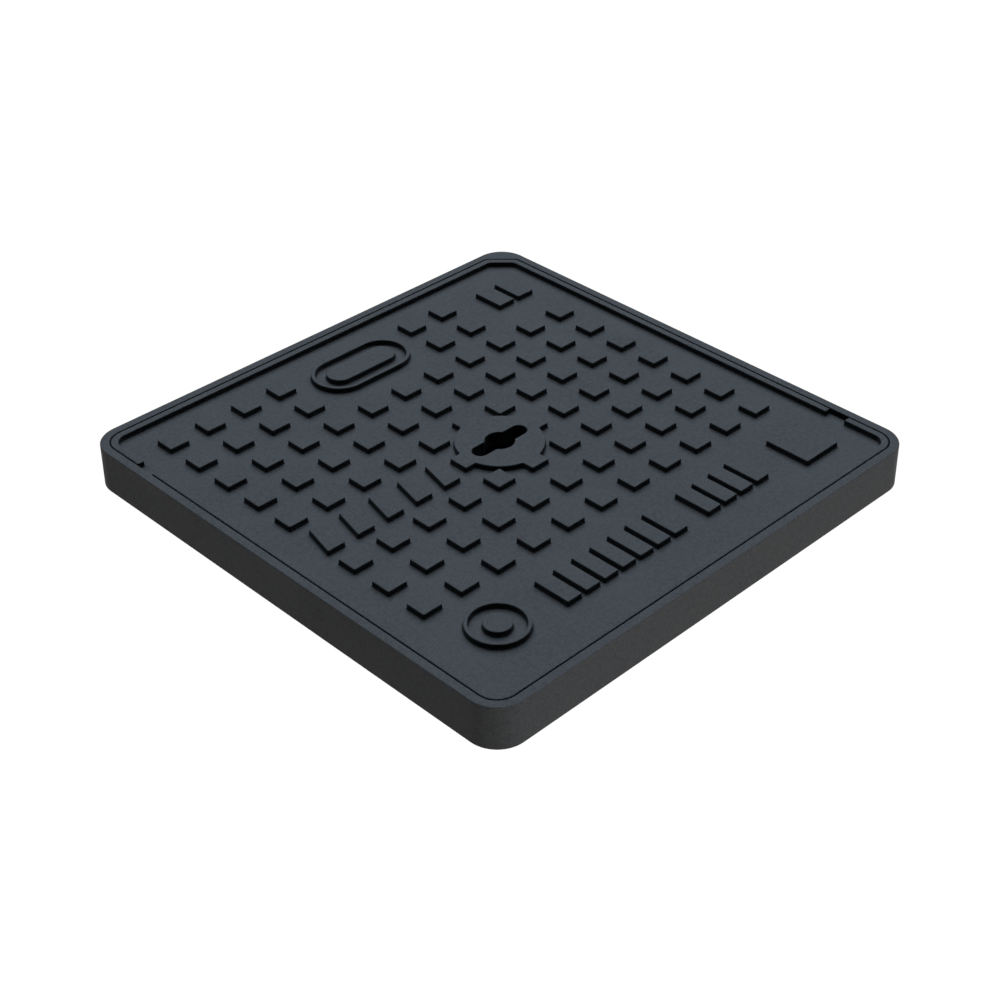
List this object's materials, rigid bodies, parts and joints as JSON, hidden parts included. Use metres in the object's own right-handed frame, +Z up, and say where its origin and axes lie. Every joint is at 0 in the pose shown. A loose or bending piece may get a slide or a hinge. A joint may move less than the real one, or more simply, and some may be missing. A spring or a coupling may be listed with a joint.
{
  "type": "manhole cover",
  "caption": "Square cast iron manhole cover with raised square studs and a central keyhole, lying flush in a low frame with a seat and gasket.",
  "frame": {"origin": "centre of the frame's bottom face, on the ground", "axes": "+Z up; +X along the row of blocks on the cover and along the keyhole slot; +Y towards the oval mark; the cut-off corner is at +X +Y"},
  "size_m": [0.4, 0.4, 0.032],
  "materials": {
    "coated_iron": "black bitumen-type paint over a fine-grained casting, dull, slightly bluish",
    "gasket_rubber": "matt black EPDM",
    "cup_plastic": "matt black moulded plastic",
    "screw_steel": "plain stainless steel"
  },
  "bodies": {
    "frame_body": {"frame": "coated_iron", "seat_gasket": "gasket_rubber"},
    "cover_body": {"cover": "coated_iron", "key_cup": "cup_plastic", "cup_screw_1": "screw_steel", "cup_screw_2": "screw_steel", "cup_screw_3": "screw_steel", "cup_screw_4": "screw_steel"}
  },
  "joints": [
    {"name": "cover_lift", "type": "slide", "parent": "frame_body", "child": "cover_body", "axis": [0, 0, 1], "range_m": [0, 0.1]}
  ]
}
